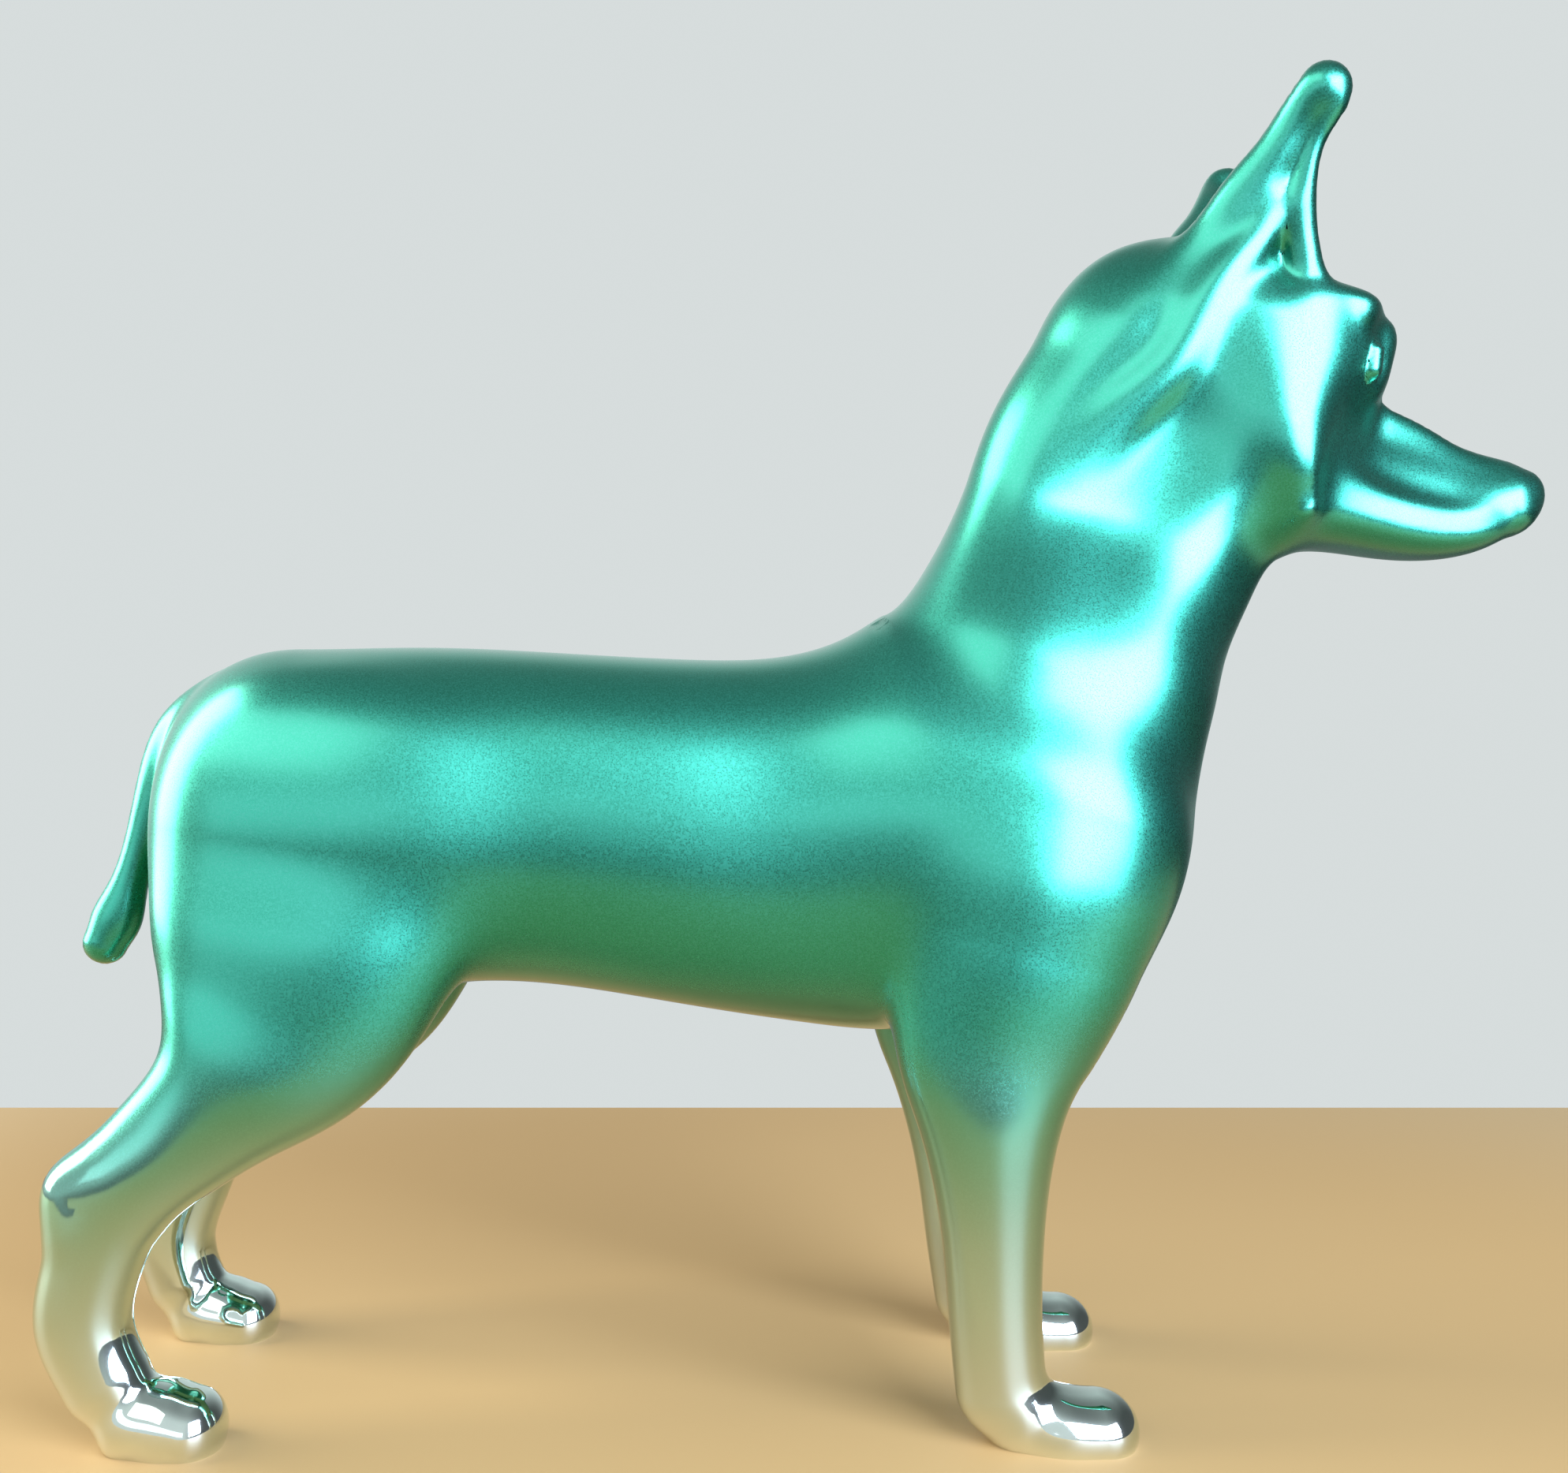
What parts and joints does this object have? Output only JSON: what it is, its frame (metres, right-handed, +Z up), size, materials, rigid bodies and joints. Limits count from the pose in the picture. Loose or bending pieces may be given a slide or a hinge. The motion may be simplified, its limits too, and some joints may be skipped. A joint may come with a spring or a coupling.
{
  "type": "dog figurine",
  "caption": "Standing dog figurine with pricked ears and a low tail, cast in one piece, satin metallic green that fades to mirror silver on the lower legs.",
  "frame": {"origin": "on the plane of the soles, under the middle of the bounding box", "axes": "+X towards the nose, +Y to the dog's left, +Z up"},
  "size_m": [0.3694, 0.0898, 0.3207],
  "materials": {
    "metallic_finish": "satin translucent green over bright metal on the body, clear mirror silver on the lower legs and paws"
  },
  "bodies": {
    "root": {"dog": "metallic_finish"}
  },
  "joints": []
}
